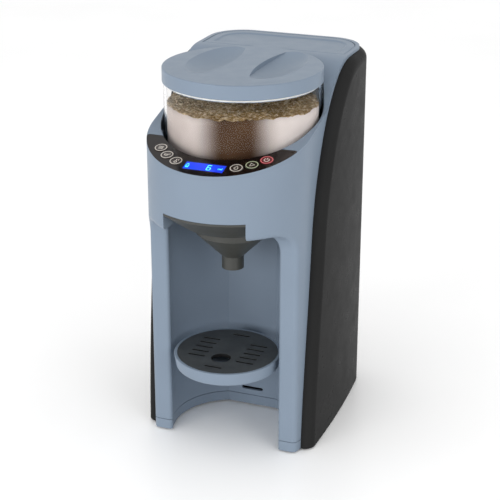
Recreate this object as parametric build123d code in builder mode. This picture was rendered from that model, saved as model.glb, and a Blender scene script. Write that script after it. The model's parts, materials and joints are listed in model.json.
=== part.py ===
"""Formula dispenser: a bench-top machine that measures powder and warm water into a bottle.

Frame: millimetres, +Z up, +Y towards the back, origin at the centre of the footprint on the
surface that the feet stand on. The bottle bay opens towards -Y.
"""
import os
from math import atan, cos, degrees, pi, radians, sin, sqrt

from build123d import *

# ---------------------------------------------------------------- driving dimensions
HEAD_R = 88.0             # front of the head, a half cylinder
HEAD_Y = -61.5            # its axis
WALL = 3.0                # casing wall
FIT = 0.3                 # room between pieces that move past each other

JACKET_HALF_W = 100.5     # black side panels at their widest
JACKET_BACK = 149.5
JACKET_TOP = 411.0
JACKET_ROLL = 11.5        # rolled front and top edge of the side panels
JACKET_SKIN = 2.8
REAR_ROLL = 28.0          # its rear top edge
REAR_HALF_W = 60.0        # the rear panel is the middle of the back
INLET_X, INLET_Z, INLET_W, INLET_H = -34.0, 40.0, 30.0, 21.0

BAY_R, BAY_Y = 68.0, -60.0    # bottle bay, a cylinder with a flat back
BAY_BACK = 1.5
BAY_TOP = 282.0           # top of the opening through the head's rim
LEG_FRONT = -88.0
ARCH_Z, ARCH_R = 262.5, 28.0  # underside of the head and its corner into the legs
LEG_OUTER_R, LEG_INNER_R = 6.0, 3.5
SHELL_BACK = 30.0
SKIRT_LOW, SEAM_Z = 2.0, 14.0

PANEL_TILT = 0.275        # rise of the control panel per mm towards the back
PANEL_Z = 365.8           # its height at the container's axis
PANEL_T = 3.0
COLLAR_R, COLLAR_Y = 83.6, -36.0   # edge between the panel and the recess round the container
RECESS_DEPTH, RECESS_BACK = 12.0, -57.0
PANEL_TIP_Y = -88.0

AXIS_Y = -27.5            # powder container, lid, stirrer and drive gear
LID_R, LID_LOW, LID_TOP = 85.0, 401.0, 416.0
JAR_R, JAR_WALL, JAR_LOW, JAR_TOP = 83.5, 2.8, 301.0, 400.7
OUTLET_Y, OUTLET_R = -58.0, 9.0

COVER_HALF_W, COVER_BACK, COVER_CORNER = 88.0, 137.0, 40.0
COVER_TOP = 414.0
TANK_FRONT = 62.0
TANK_LOW, TANK_TOP, TANK_WALL = 198.3, 403.6, 2.2
TANK_INSET, LID_INSET = 9.0, 5.0
SOCKET_X, SOCKET_Y = -45.0, 95.0

DECK_LOW, DECK_T = 296.0, 3.0
CEILING_LOW, CEILING_T = 272.0, 3.0
BULKHEAD_Y, BULKHEAD_T = 57.0, 3.0
SHELF_LOW, SHELF_T = 194.0, 4.0
FLOOR_LOW, FLOOR_T = 3.0, 3.0
RIM_FLOOR = 269.0         # the head's hollow rim starts here
CHEEK_T = 3.0             # walls that close the rim beside the funnel
WELL_R = 85.7             # hole in the top cover for the powder container
FOOT_R, SCREW_R = 6.0, 1.5
FOOT_PLACES = ((-77.5, -66), (77.5, -66), (-66, 112), (66, 112))
SCREW_PLACES = ((-77.5, -45), (77.5, -45), (-60, 66), (60, 66))

SPOUT_R, SPOUT_LOW, SPOUT_TOP = 12.0, 199.7, 214.0
BOWL_R, BOWL_LOW, BOWL_TOP = 40.0, 242.0, 255.0
BOWL_WALL = 2.4
VISOR_HALF_W, VISOR_T = 45.0, 2.2     # thickness measured upright
VISOR_TOP, VISOR_SLOPE = 282.0, 0.72  # its edge at the head's surface, and its rise per mm of radius
FLANGE_T = 2.5

TRAY_Y, TRAY_TOP, TRAY_R, TRAY_H = -75.0, 106.0, 58.8, 15.0
GRID_R, GRID_T = 55.2, 4.0
SOCKET_HEIGHTS = (22.5, 57.5, 92.5)   # three heights where the tray plugs in
ARM_W, ARM_T = 24.0, 3.0

GEAR_MODULE, GEAR_TEETH, PINION_TEETH = 1.25, 28, 14
GEAR_LOW, GEAR_T = 286.0, 6.0
IDLER_Y = AXIS_Y + GEAR_MODULE * GEAR_TEETH
PINION_Y = IDLER_Y + GEAR_MODULE * (GEAR_TEETH + PINION_TEETH) / 2

SHAFT_R, PIN_R, MOTOR_SHAFT_R, BUSH_R = 5.0, 3.0, 2.5, 8.0
MOTOR_TOP = 280.0
CHUTE_R, HUB_R = 11.0, 6.7
HEX_R, HEX_TOP = 3.5, 308.0   # the coupler's half width across flats, and its socket's end
WHEEL_LOW, WHEEL_T = 304.2, 7.0
POST_PLACES = ((-50, -94), (50, -94), (-40, -18), (40, -18))

PLUG_R, PLUG_DEPTH = 79.6, 4.0   # ring under the lid
SEAL_LOW, SEAL_T = LID_LOW - 3.0, 1.4
SCOOP_X, SCOOP_Y = 34.0, AXIS_Y + 13
SCOOP_R, SCOOP_DEPTH, SCOOP_STRETCH = 45.0, 9.0, 2.25
BAR_WAIST, BAR_END = 15.5, 38.0

RAIL_FRONT, RAIL_BACK, RAIL_LOW = -84.0, -17.0, 252.0
RAIL_LIP, RAIL_WEB = 4.0, 3.2
NOZZLE_PLACE, NOZZLE_R, NOZZLE_Z = (22, -70), 4.0, 279.5

BUTTON_R, BUTTON_PROUD = 6.9, 0.7
BUTTON_RING_R = 75.7      # the buttons lie on this arc about the head's axis
BUTTON_ANGLES = (25.6, 37.7, 49.9)
BUTTON_NAMES = (  # from left to right
    "menu_button",
    "powder_button",
    "temperature_button",
    "volume_button",
    "start_button",
    "power_button",
)
LCD_W, LCD_D, LCD_Y = 43.4, 13.2, -133.9

VALVE_R = 8.2
FEED_Z = 48.0
PUMP_X, PUMP_Y, PUMP_LOW = -45.0, 38.0, 36.0
HEATER_X, HEATER_LOW, HEATER_TALL = 48.0, 80.0, 105.0
BOARD_Y = 12.0
BOARD_PARTS = (  # x, z, width, height and depth of what is soldered on the board
    (-8, 95, 28, 24, 20),
    (18, 90, 12, 12, 16),
    (22, 150, 20, 26, 4),
    (-22, 155, 16, 12, 9),
)
HOSE_R, HOSE_BEND = 3.0, 8.0
HOSES = {
    "feed_hose": (
        (SOCKET_X, SOCKET_Y, SHELF_LOW - 22.2),
        (SOCKET_X, SOCKET_Y, FEED_Z),
        (SOCKET_X, PUMP_Y + 15, FEED_Z),
    ),
    "heater_hose": (
        (PUMP_X, PUMP_Y, PUMP_LOW + 58),
        (PUMP_X, PUMP_Y, 116),
        (20, PUMP_Y, 116),
        (20, PUMP_Y, 60),
        (HEATER_X, PUMP_Y, 60),
        (HEATER_X, PUMP_Y, HEATER_LOW),
    ),
    "nozzle_hose": (
        (HEATER_X, PUMP_Y, HEATER_LOW + HEATER_TALL),
        (HEATER_X, PUMP_Y, 250),
        (56, PUMP_Y, 288),
        (56, -40, 289.4),
        (52, -70, NOZZLE_Z),
        (32, -70, NOZZLE_Z),
    ),
}

os.makedirs("parts", exist_ok=True)

panel_angle = degrees(atan(PANEL_TILT))
panel_plane = Plane(
    origin=(0, AXIS_Y, PANEL_Z),
    x_dir=(1, 0, 0),
    z_dir=(0, -sin(radians(panel_angle)), cos(radians(panel_angle))),
)
panel_under = panel_plane.offset(-PANEL_T)


def panel_height(y):
    """Height of the control panel's surface at y."""
    return PANEL_Z + PANEL_TILT * (y - AXIS_Y)


def on_panel(x, y):
    """Place in the panel plane of the point above (x, y)."""
    return (x, (y - AXIS_Y) / cos(radians(panel_angle)))


BUTTON_PLACES = [
    on_panel(BUTTON_RING_R * sin(radians(angle)), HEAD_Y - BUTTON_RING_R * cos(radians(angle)))
    for angle in [-a for a in reversed(BUTTON_ANGLES)] + list(BUTTON_ANGLES)
]
GRID_SLOTS = [(x, y) for x in (-28, 28) for y in (-21, -10, 1, 12, 23)] + [(0, -42), (0, 42)]
FLOOR_TOP = FLOOR_LOW + FLOOR_T


def save(builder, name):
    """Label a finished piece and write it."""
    builder.part.label = name
    export_step(builder.part, f"parts/{name}.step")


# ---------------------------------------------------------------- outlines shared by pieces
def head_outline(inset, back):
    """Plan of the head: half a circle in front, straight sides to the back."""
    r = HEAD_R - inset
    with BuildSketch() as outline:
        with Locations((0, HEAD_Y)):
            Circle(r)
        with Locations((0, (HEAD_Y + back) / 2)):
            Rectangle(2 * r, back - HEAD_Y)
    return outline.sketch


def cover_outline(inset, front=None):
    """Plan of the blue top: the head's outline carried back to its rounded rear corners."""
    half, back = COVER_HALF_W - inset, COVER_BACK - inset
    with BuildSketch() as outline:
        with Locations((0, HEAD_Y)):
            Circle(half)
        with Locations((0, (HEAD_Y + back) / 2)):
            Rectangle(2 * half, back - HEAD_Y)
        fillet(outline.vertices().sort_by(Axis.Y)[-2:], COVER_CORNER - inset)
        if front is not None:
            with Locations((0, front - 200)):
                Rectangle(400, 400, mode=Mode.SUBTRACT)
    return outline.sketch


def bay_outline(grow):
    """Plan of the bottle bay: a circle cut by the flat back wall."""
    with BuildSketch() as outline:
        with Locations((0, BAY_Y)):
            Circle(BAY_R + grow)
        with Locations((0, BAY_BACK + grow + 100)):
            Rectangle(400, 200, mode=Mode.SUBTRACT)
    return outline.sketch


def leg_outline(inset):
    """Footprint of the two legs and the wall that joins them behind the bay."""
    with BuildSketch() as outline:
        add(head_outline(inset, SHELL_BACK - inset))
        with Locations((0, LEG_FRONT + inset - 100)):
            Rectangle(400, 200, mode=Mode.SUBTRACT)
        add(bay_outline(inset), mode=Mode.SUBTRACT)
        corners = outline.vertices().group_by(Axis.Y)[0].sort_by(lambda v: abs(v.X))
        fillet(corners[:2], LEG_INNER_R - inset / 2)
        corners = outline.vertices().group_by(Axis.Y)[0].sort_by(lambda v: abs(v.X))
        fillet(corners[-2:], LEG_OUTER_R - inset)
    return outline.sketch


def jacket_outline(inset):
    """Plan of the black jacket: barrelled sides, slightly bowed back, round rear corners."""
    half, back = JACKET_HALF_W - inset, JACKET_BACK - inset
    front_x, front_y, rear_x, rear_y = half - 3.5, -110.0, half - 9.0, back - 3.0
    with BuildSketch() as outline:
        with BuildLine():
            ThreePointArc((front_x, front_y), (half, -5), (rear_x, rear_y))
            ThreePointArc((rear_x, rear_y), (0, back), (-rear_x, rear_y))
            ThreePointArc((-rear_x, rear_y), (-half, -5), (-front_x, front_y))
            Line((-front_x, front_y), (front_x, front_y))
        make_face()
        fillet(outline.vertices().sort_by(Axis.Y)[-2:], 51 - inset)
    return outline.sketch


def jacket_profile(inset):
    """Side view of the jacket, in the Y-Z plane: the front edge leans back, then rolls level."""
    ends = [(0.03, 1), (1, 0)]
    edge = Spline(
        (-76.5, SKIRT_LOW),
        (-68, 118),
        (-56, 219),
        (-42, 298),
        (-11.7, 360),
        (13, 390),
        (40, 405),
        (75, JACKET_TOP),
        tangents=ends,
        mode=Mode.PRIVATE,
    )
    # the inner form's edge is parallel to the outer one
    steps = [0, 0.15, 0.3, 0.45, 0.6, 0.7, 0.8, 0.9, 1]
    inner = [edge @ t + Vector((edge % t).Y, -(edge % t).X) * inset for t in steps]
    top, back = JACKET_TOP - inset, JACKET_BACK - inset
    with BuildSketch(Plane.YZ) as profile:
        with BuildLine():
            front = Spline(*inner, tangents=ends)
            foot = front @ 0 - Vector(0, 20)
            Polyline(front @ 1, (back, top), (back, foot.Y), foot)
            Line(foot, front @ 0)
        make_face()
    return profile.sketch


def gear_outline(teeth, tooth_at):
    """Straight-flanked spur gear teeth with plenty of backlash; one tooth points at tooth_at."""
    pitch_r = GEAR_MODULE * teeth / 2
    tip_r, root_r = pitch_r + 0.85 * GEAR_MODULE, pitch_r - 1.15 * GEAR_MODULE
    tip_half, root_half = 0.30 * GEAR_MODULE, 0.95 * GEAR_MODULE
    points = []
    for tooth in range(teeth):
        middle = radians(tooth_at) + 2 * pi * tooth / teeth
        for r, side in ((root_r, -root_half), (tip_r, -tip_half), (tip_r, tip_half), (root_r, root_half)):
            points.append((r * cos(middle + side / r), r * sin(middle + side / r)))
    with BuildSketch() as outline:
        with BuildLine():
            Polyline(*points, close=True)
        make_face()
    return outline.sketch


def crescent(inset):
    """Plan of the control panel: between the head's edge and the container's collar."""
    with BuildSketch() as outline:
        with Locations((0, HEAD_Y)):
            Circle(HEAD_R - 0.4 - inset)
        with Locations((0, COLLAR_Y)):
            Circle(COLLAR_R + 0.2 + inset, mode=Mode.SUBTRACT)
        with Locations((0, PANEL_TIP_Y - inset + 100)):
            Rectangle(400, 200, mode=Mode.SUBTRACT)
        fillet(outline.vertices(), 2.5)
    return outline.sketch


def visor_radius(z, rise=0.0):
    """Radius about the head's axis where the visor's lower face, raised by rise, is at height z."""
    return HEAD_R + (z - rise - VISOR_TOP + VISOR_T) / VISOR_SLOPE


def visor_cone(low, rise, half_w):
    """Space under the visor's cone raised by rise, in front of the head's axis and above low."""
    top = VISOR_TOP + 10
    with BuildPart() as space:
        with BuildSketch(Plane.XZ.offset(-HEAD_Y)):
            with BuildLine():
                Polyline(
                    (visor_radius(low, rise), low),
                    (visor_radius(top, rise), low),
                    (visor_radius(top, rise), top),
                    close=True,
                )
            make_face()
        revolve(axis=Axis((0, HEAD_Y, 0), (0, 0, 1)))
        with Locations((0, HEAD_Y - 100, low)):
            Box(2 * half_w, 200, 400, mode=Mode.INTERSECT)
    return space.part


# ---------------------------------------------------------------- front shell
with BuildPart() as front_shell:
    with BuildSketch(Plane.XY.offset(SEAM_Z)):
        add(head_outline(0, SHELL_BACK))
    extrude(amount=PANEL_Z + 20)
    # the bay, open below and in front
    with BuildSketch(Plane.XY.offset(SEAM_Z)):
        add(bay_outline(0))
    extrude(amount=BAY_TOP - SEAM_Z, mode=Mode.SUBTRACT)
    # the arch between the legs and the head, cut from side to side
    with BuildSketch(Plane.YZ) as arch:
        with Locations((LEG_FRONT - 200, ARCH_Z / 2)):
            Rectangle(400, ARCH_Z)
        fillet(arch.vertices().sort_by(Axis.X)[-2:].sort_by(Axis.Y)[-1], ARCH_R)
    extrude(amount=200, both=True, mode=Mode.SUBTRACT)
    # rolled edges round the arch, outside then inside
    for centre_y, radius, roll in ((HEAD_Y, HEAD_R, LEG_OUTER_R), (BAY_Y, BAY_R, LEG_INNER_R)):
        arch_edges = front_shell.edges().filter_by(
            lambda e: all(
                abs(sqrt(e.position_at(t).X ** 2 + (e.position_at(t).Y - centre_y) ** 2) - radius) < 0.05
                for t in (0.02, 0.5, 0.98)
            )
            and e.center().Y < LEG_FRONT + 0.5
            and SEAM_Z + 1 < e.center().Z < ARCH_Z + 0.5
        )
        fillet(arch_edges, roll)
    # hollow legs, open below and behind
    with BuildSketch(Plane.XY.offset(SEAM_Z)):
        add(leg_outline(WALL))
        with Locations((0, SHELL_BACK)):
            Rectangle(2 * (HEAD_R - WALL), 20)
    extrude(amount=ARCH_Z - SEAM_Z, mode=Mode.SUBTRACT)
    # hollow rim of the head, with a cheek on each side of the funnel
    with BuildSketch(Plane.XY.offset(RIM_FLOOR)):
        add(head_outline(WALL, SHELL_BACK + 10))
        add(bay_outline(WALL), mode=Mode.SUBTRACT)
        with Locations(
            (-VISOR_HALF_W - FIT - CHEEK_T / 2, HEAD_Y - 60), (VISOR_HALF_W + FIT + CHEEK_T / 2, HEAD_Y - 60)
        ):
            Rectangle(CHEEK_T, 100, mode=Mode.SUBTRACT)
    extrude(amount=DECK_LOW - RIM_FLOOR, mode=Mode.SUBTRACT)
    with BuildSketch(Plane.XY.offset(BAY_TOP)):
        add(bay_outline(WALL))
    extrude(amount=DECK_LOW - BAY_TOP, mode=Mode.SUBTRACT)
    with BuildSketch(Plane.XY.offset(DECK_LOW)):
        add(head_outline(WALL, SHELL_BACK + 10))
    extrude(amount=200, mode=Mode.SUBTRACT)
    # no floor in the rim behind the bay
    with BuildSketch(Plane.XY.offset(ARCH_Z - 1)):
        with Locations((0, BAY_BACK + WALL + 20)):
            Rectangle(2 * (HEAD_R - WALL), 40)
    extrude(amount=10, mode=Mode.SUBTRACT)
    # notch in the rim that the funnel's visor closes
    add(visor_cone(ARCH_Z - 20, VISOR_T + FIT, VISOR_HALF_W + FIT), mode=Mode.SUBTRACT)
    # sockets for the tray in the bay's back wall
    with BuildSketch(Plane.XZ.offset(1 - BAY_BACK)):
        with Locations(*[(0, height) for height in SOCKET_HEIGHTS]):
            SlotOverall(ARM_W + 2, ARM_T + 1)
    extrude(amount=-WALL - 2, mode=Mode.SUBTRACT)
    split(bisect_by=panel_under, keep=Keep.BOTTOM)
    # screw bosses in the legs
    for x, y in SCREW_PLACES[:2]:
        with BuildSketch(Plane.XY.offset(SEAM_Z)):
            with Locations((x, y)):
                Circle(4)
                Rectangle(15, 3)
        extrude(amount=25)
        with Locations((x, y, SEAM_Z)):
            Cylinder(SCREW_R + 0.05, 60, mode=Mode.SUBTRACT)
save(front_shell, "front_shell")

# ---------------------------------------------------------------- skirt, floor and feet
with BuildPart() as base_skirt:
    # the wall stops short of the seam and a thinner lip inside it reaches the shell
    for outer, top in ((0, SEAM_Z - 0.7), (1.3, SEAM_Z)):
        with BuildSketch(Plane.XY.offset(SKIRT_LOW)):
            add(leg_outline(outer))
            add(leg_outline(2.6), mode=Mode.SUBTRACT)
            with Locations((0, SHELL_BACK)):
                Rectangle(2 * (HEAD_R - 2.6), 10, mode=Mode.SUBTRACT)
        extrude(amount=top - SKIRT_LOW)
save(base_skirt, "base_skirt")

with BuildPart() as base_plate:
    with BuildSketch(Plane.XY.offset(FLOOR_LOW)):
        add(leg_outline(2.8))
        add(cover_outline(0.4, front=SHELL_BACK + 0.2))
        with Locations((0, SHELL_BACK)):
            Rectangle(2 * (HEAD_R - 2.8), 16)
        with Locations(*SCREW_PLACES):
            Circle(SCREW_R + 0.2, mode=Mode.SUBTRACT)
    extrude(amount=FLOOR_T)
    with BuildSketch(Plane.XY.offset(FLOOR_LOW)):
        with Locations(*FOOT_PLACES):
            Circle(FOOT_R + 0.1)
        with Locations(*SCREW_PLACES):
            Circle(3.4)
    extrude(amount=1.4, mode=Mode.SUBTRACT)
save(base_plate, "base_plate")

with BuildPart() as rubber_feet:
    with BuildSketch():
        with Locations(*FOOT_PLACES):
            Circle(FOOT_R)
    extrude(amount=FLOOR_LOW + 1.4)
    chamfer(rubber_feet.edges().group_by(Axis.Z)[0], 0.8)
save(rubber_feet, "rubber_feet")

with BuildPart() as base_screws:
    with BuildSketch(Plane.XY.offset(FLOOR_LOW + 0.2)):
        with Locations(*SCREW_PLACES):
            Circle(3.1)
    extrude(amount=1.2)
    with BuildSketch(Plane.XY.offset(FLOOR_LOW + 1.4)):
        with Locations(*SCREW_PLACES):
            Circle(SCREW_R)
    extrude(amount=14)
save(base_screws, "base_screws")

# ---------------------------------------------------------------- black jacket in three pieces
def jacket_solid(inset):
    """The jacket's outer form, or its inner form with an inset: plan and side view, edges rolled."""
    with BuildPart() as form:
        with BuildSketch(Plane.XY.offset(SKIRT_LOW + inset)):
            add(jacket_outline(inset))
        extrude(amount=JACKET_TOP)
        side = extrude(jacket_profile(inset), amount=200, both=True, mode=Mode.PRIVATE)
        add(side, mode=Mode.INTERSECT)
        rolled = form.edges().filter_by(
            lambda e: e.center().Z > SKIRT_LOW + 20
            and (abs(e.center().X) > 60 or e.center().Y > 140)
            and not (e.geom_type == GeomType.LINE and e.length > 300)
        )
        fillet(rolled, JACKET_ROLL - inset)
        # the rear top edge rolls over on a larger radius than the sides
        with BuildSketch(Plane.YZ) as roll:
            with Locations((JACKET_BACK - inset - 200, JACKET_TOP - inset - 300)):
                Rectangle(400, 600)
            fillet(roll.vertices().sort_by(Axis.X)[-2:].sort_by(Axis.Y)[-1], REAR_ROLL - inset)
        extrude(amount=200, both=True, mode=Mode.INTERSECT)
    return form.part


with BuildPart() as jacket:
    add(jacket_solid(0))
    add(jacket_solid(JACKET_SKIN), mode=Mode.SUBTRACT)
    with BuildSketch(Plane.XY):
        add(cover_outline(0))
    extrude(amount=JACKET_TOP + 10, mode=Mode.SUBTRACT)

with BuildPart() as side_panel_right:
    add(jacket)
    with Locations((REAR_HALF_W + 100, 0, 200)):
        Box(200, 400, 900, mode=Mode.INTERSECT)
save(side_panel_right, "side_panel_right")

with BuildPart() as side_panel_left:
    add(mirror(side_panel_right.part, about=Plane.YZ, mode=Mode.PRIVATE))
save(side_panel_left, "side_panel_left")

with BuildPart() as rear_panel:
    add(jacket)
    with Locations((0, JACKET_BACK, 0)):
        Box(2 * REAR_HALF_W, 200, 900, mode=Mode.INTERSECT)
    # vents, and the opening for the mains inlet
    with BuildSketch(Plane.XZ.offset(-JACKET_BACK - 5)):
        with Locations((0, 96)):
            with GridLocations(60, 9, 2, 6):
                SlotOverall(42, 3.5)
        with Locations((INLET_X, INLET_Z)):
            Rectangle(INLET_W + 0.4, INLET_H + 0.4)
    extrude(amount=30, mode=Mode.SUBTRACT)
save(rear_panel, "rear_panel")

# ---------------------------------------------------------------- top cover
with BuildPart() as top_cover:
    with BuildSketch(Plane.YZ):
        with BuildLine():
            front_y, ramp_y = -160.0, -14.0
            Line((front_y, panel_height(front_y) - PANEL_T), (front_y, panel_height(front_y)))
            Line((front_y, panel_height(front_y)), (ramp_y, panel_height(ramp_y)))
            Spline(
                (ramp_y, panel_height(ramp_y)),
                (0, 380.5),
                (14, 396.5),
                (32, 408),
                (TANK_FRONT, COVER_TOP),
                tangents=[(1, PANEL_TILT), (1, 0)],
            )
            Polyline(
                (TANK_FRONT, COVER_TOP),
                (160, COVER_TOP),
                (160, panel_height(160) - PANEL_T),
                (front_y, panel_height(front_y) - PANEL_T),
            )
        make_face()
    extrude(amount=200, both=True)
    with BuildSketch(Plane.XY.offset(300)):
        add(cover_outline(0))
    extrude(amount=200, mode=Mode.INTERSECT)
    # the control panel's crescent
    with BuildSketch(Plane.XY.offset(300)):
        add(crescent(-0.2))
    extrude(amount=200, mode=Mode.SUBTRACT)
    # well for the powder container, wider in front, and the opening for the water tank
    with Locations((0, AXIS_Y, 400)):
        Cylinder(WELL_R, 300, mode=Mode.SUBTRACT)
    with Locations((0, COLLAR_Y, 400)):
        Cylinder(COLLAR_R, 300, mode=Mode.SUBTRACT)
    with BuildSketch(Plane.XY.offset(300)):
        add(cover_outline(LID_INSET - 0.4, front=TANK_FRONT - 0.4))
    extrude(amount=200, mode=Mode.SUBTRACT)
    # the front of the well is a recess: a wall under the panel's inner edge, and a ledge
    for inner_r, inner_y, upper in (
        (COLLAR_R, COLLAR_Y, panel_under),
        (WELL_R - 1.2, AXIS_Y, panel_plane.offset(-RECESS_DEPTH)),
    ):
        with BuildPart(mode=Mode.PRIVATE) as recess:
            with BuildSketch(Plane.XY.offset(300)):
                with Locations((0, COLLAR_Y)):
                    Circle(COLLAR_R + 1.4)
                with Locations((0, inner_y)):
                    Circle(inner_r, mode=Mode.SUBTRACT)
                with Locations((0, RECESS_BACK + 100)):
                    Rectangle(400, 200, mode=Mode.SUBTRACT)
            extrude(amount=100)
            split(bisect_by=upper, keep=Keep.BOTTOM)
            split(bisect_by=panel_plane.offset(-RECESS_DEPTH - 1.6), keep=Keep.TOP)
        add(recess)
save(top_cover, "top_cover")

# ---------------------------------------------------------------- inner frame
with BuildPart() as bulkhead:
    with Locations((0, BULKHEAD_Y + BULKHEAD_T / 2, (FLOOR_TOP + 385) / 2)):
        Box(168, BULKHEAD_T, 385 - FLOOR_TOP)
    with Locations((0, BULKHEAD_Y + 9, FLOOR_TOP + 1.5)):
        Box(140, 18, 3)
    with Locations(*[(x, y, FLOOR_TOP) for x, y in SCREW_PLACES[2:]]):
        Cylinder(SCREW_R + 0.05, 40, mode=Mode.SUBTRACT)
    # hole for the pump's feed hose
    with BuildSketch(Plane.XZ.offset(-BULKHEAD_Y + 5)):
        with Locations((SOCKET_X, FEED_Z)):
            Circle(4.5)
    extrude(amount=-20, mode=Mode.SUBTRACT)
save(bulkhead, "bulkhead")

with BuildPart() as tank_shelf:
    with BuildSketch(Plane.XY.offset(SHELF_LOW)):
        add(cover_outline(LID_INSET, front=BULKHEAD_Y + BULKHEAD_T))
        with Locations((SOCKET_X, SOCKET_Y)):
            Circle(VALVE_R + 0.6, mode=Mode.SUBTRACT)
    extrude(amount=SHELF_T)
    # legs down to the floor
    with BuildSketch(Plane.XY.offset(FLOOR_TOP)):
        with Locations((-76, 84), (76, 84)):
            Rectangle(3, 44)
    extrude(amount=SHELF_LOW - FLOOR_TOP)
save(tank_shelf, "tank_shelf")

with BuildPart() as bay_ceiling:
    with BuildSketch(Plane.XY.offset(CEILING_LOW)):
        add(bay_outline(-FIT))
    extrude(amount=BAY_TOP - CEILING_LOW)
    with BuildSketch(Plane.XY.offset(CEILING_LOW + CEILING_T)):
        add(bay_outline(-FIT - 2.5))
    extrude(amount=BAY_TOP - CEILING_LOW, mode=Mode.SUBTRACT)
    # flange that rests on the bay's wall, and posts that carry the deck
    with BuildSketch(Plane.XY.offset(BAY_TOP)):
        add(bay_outline(WALL))
        add(bay_outline(-FIT - 2.5), mode=Mode.SUBTRACT)
    extrude(amount=1.6)
    with BuildSketch(Plane.XY.offset(CEILING_LOW)):
        with Locations(*POST_PLACES):
            Circle(4)
    extrude(amount=DECK_LOW - CEILING_LOW)
    with BuildSketch(Plane.XY.offset(CEILING_LOW - 1)):
        with Locations((0, OUTLET_Y)):
            Circle(CHUTE_R)
        with Locations(NOZZLE_PLACE):
            Circle(NOZZLE_R)
    extrude(amount=8, mode=Mode.SUBTRACT)
save(bay_ceiling, "bay_ceiling")

with BuildPart() as deck_plate:
    with BuildSketch(Plane.XY.offset(DECK_LOW)):
        add(head_outline(WALL + 0.4, BULKHEAD_Y))
        with Locations((0, OUTLET_Y)):
            Circle(CHUTE_R, mode=Mode.SUBTRACT)
        with Locations((0, AXIS_Y)):
            Circle(BUSH_R, mode=Mode.SUBTRACT)
    extrude(amount=DECK_T)
save(deck_plate, "deck_plate")

with BuildPart() as powder_chute:
    with BuildSketch(Plane.XY.offset(CEILING_LOW - 2)):
        with Locations((0, OUTLET_Y)):
            Circle(CHUTE_R)
            Circle(OUTLET_R, mode=Mode.SUBTRACT)
    extrude(amount=DECK_LOW + DECK_T - CEILING_LOW + 2)
save(powder_chute, "powder_chute")

with BuildPart() as funnel_rails:
    for side in (-1, 1):
        with BuildSketch(Plane.YZ.offset(side * (VISOR_HALF_W + FIT - RAIL_LIP))):
            with Locations(((RAIL_FRONT + RAIL_BACK) / 2, (RAIL_LOW + CEILING_LOW) / 2)):
                Rectangle(RAIL_BACK - RAIL_FRONT, CEILING_LOW - RAIL_LOW)
        extrude(amount=side * (RAIL_LIP + RAIL_WEB))
    # grooves for the funnel's flange
    with Locations((0, OUTLET_Y, BOWL_TOP + FLANGE_T / 2)):
        Box(2 * (VISOR_HALF_W + FIT), 200, FLANGE_T + 2 * FIT, mode=Mode.SUBTRACT)
save(funnel_rails, "funnel_rails")

# ---------------------------------------------------------------- control panel and buttons
with BuildPart() as control_panel:
    with BuildSketch(Plane.XY.offset(300)):
        add(crescent(0))
    extrude(amount=100)
    split(bisect_by=panel_plane, keep=Keep.BOTTOM)
    split(bisect_by=panel_under, keep=Keep.TOP)
    with BuildSketch(panel_plane):
        with Locations(*BUTTON_PLACES):
            Circle(BUTTON_R + FIT)
        with Locations(on_panel(0, LCD_Y)):
            Rectangle(LCD_W, LCD_D)
    extrude(amount=20, both=True, mode=Mode.SUBTRACT)
save(control_panel, "control_panel")

with BuildPart() as lcd_window:
    with BuildSketch(panel_plane.offset(-6)):
        with Locations(on_panel(0, LCD_Y)):
            Rectangle(LCD_W - 0.1, LCD_D - 0.1)
    extrude(amount=5.8)
save(lcd_window, "lcd_window")

with BuildPart() as display_board:
    with BuildSketch(Plane.XY.offset(300)):
        add(crescent(4.5))
    extrude(amount=100)
    split(bisect_by=panel_plane.offset(-8), keep=Keep.BOTTOM)
    split(bisect_by=panel_plane.offset(-9.6), keep=Keep.TOP)
    # a tactile switch under each button
    with BuildSketch(panel_plane.offset(-8)):
        with Locations(*BUTTON_PLACES):
            Rectangle(6, 6)
        with Locations(on_panel(0, LCD_Y)):
            Rectangle(LCD_W, LCD_D)
    extrude(amount=1.5)
save(display_board, "display_board")

for name, place in zip(BUTTON_NAMES, BUTTON_PLACES):
    with BuildPart() as button:
        with BuildSketch(panel_plane.offset(-PANEL_T - 1.2)):
            with Locations(place):
                Circle(BUTTON_R)
        extrude(amount=PANEL_T + 1.2 + BUTTON_PROUD)
        fillet(button.edges().sort_by(Axis.Z)[-1], 0.4)
        with BuildSketch(panel_plane.offset(-PANEL_T - 1.2)):
            with Locations(place):
                Circle(1.5)
        extrude(amount=-1.0)
    save(button, name)

# ---------------------------------------------------------------- powder container and lid
with BuildPart() as powder_container:
    with Locations((0, AXIS_Y, JAR_LOW)):
        Cylinder(JAR_R, JAR_TOP - JAR_LOW, align=(Align.CENTER, Align.CENTER, Align.MIN))
    with Locations((0, AXIS_Y, JAR_LOW + JAR_WALL)):
        Cylinder(
            JAR_R - JAR_WALL, JAR_TOP, align=(Align.CENTER, Align.CENTER, Align.MIN), mode=Mode.SUBTRACT
        )
    with BuildSketch(Plane.XY.offset(JAR_LOW)):
        with Locations((0, OUTLET_Y)):
            Circle(OUTLET_R)
        with Locations((0, AXIS_Y)):
            Circle(HUB_R + FIT)
    extrude(amount=JAR_WALL, mode=Mode.SUBTRACT)
save(powder_container, "powder_container")

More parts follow.
